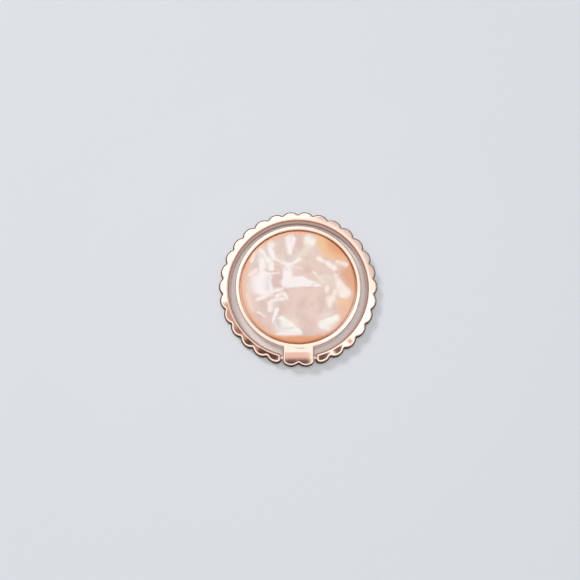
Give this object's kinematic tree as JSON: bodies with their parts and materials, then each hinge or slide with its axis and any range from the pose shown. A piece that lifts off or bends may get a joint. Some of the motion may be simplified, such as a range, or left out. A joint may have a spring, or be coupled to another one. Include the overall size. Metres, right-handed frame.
{
  "type": "phone ring holder",
  "caption": "Phone ring holder: scalloped rose-gold finger ring hinged to a round swivelling bezel plate with a pearly shell inlay, on an adhesive base.",
  "frame": {"origin": "centre of the adhesive pad's lower face, on the swivel axis", "axes": "+Z along the swivel axis, away from the surface that the pad sticks to; the hinge lug lies towards -Y and the hinge axis runs along X"},
  "size_m": [0.04, 0.0398, 0.0044],
  "materials": {
    "rose_gold_plate": "polished rose-gold plating on die-cast zinc alloy",
    "pearl_shell": "glossy clear-coated pearly shell, blush pink with white flakes and a peach rim",
    "plain_steel": "plain stamped or drawn steel",
    "nylon": "natural nylon",
    "foam_tape": "pale grey acrylic foam tape"
  },
  "bodies": {
    "base": {"adhesive_pad": "foam_tape", "base_plate": "plain_steel", "friction_washer": "nylon", "swivel_rivet": "plain_steel"},
    "plate": {"bezel_plate": "rose_gold_plate", "shell_inlay": "pearl_shell"},
    "ring": {"finger_ring": "rose_gold_plate", "hinge_pin": "plain_steel"}
  },
  "joints": [
    {"name": "plate_swivel", "type": "hinge", "parent": "base", "child": "plate", "pos_m": [0, 0, 0.0022], "axis": [0, 0, 1], "continuous": true},
    {"name": "ring_flip", "type": "hinge", "parent": "plate", "child": "ring", "pos_m": [0, -0.01781, 0.0022], "axis": [1, 0, 0], "range_deg": [0, 180]}
  ]
}
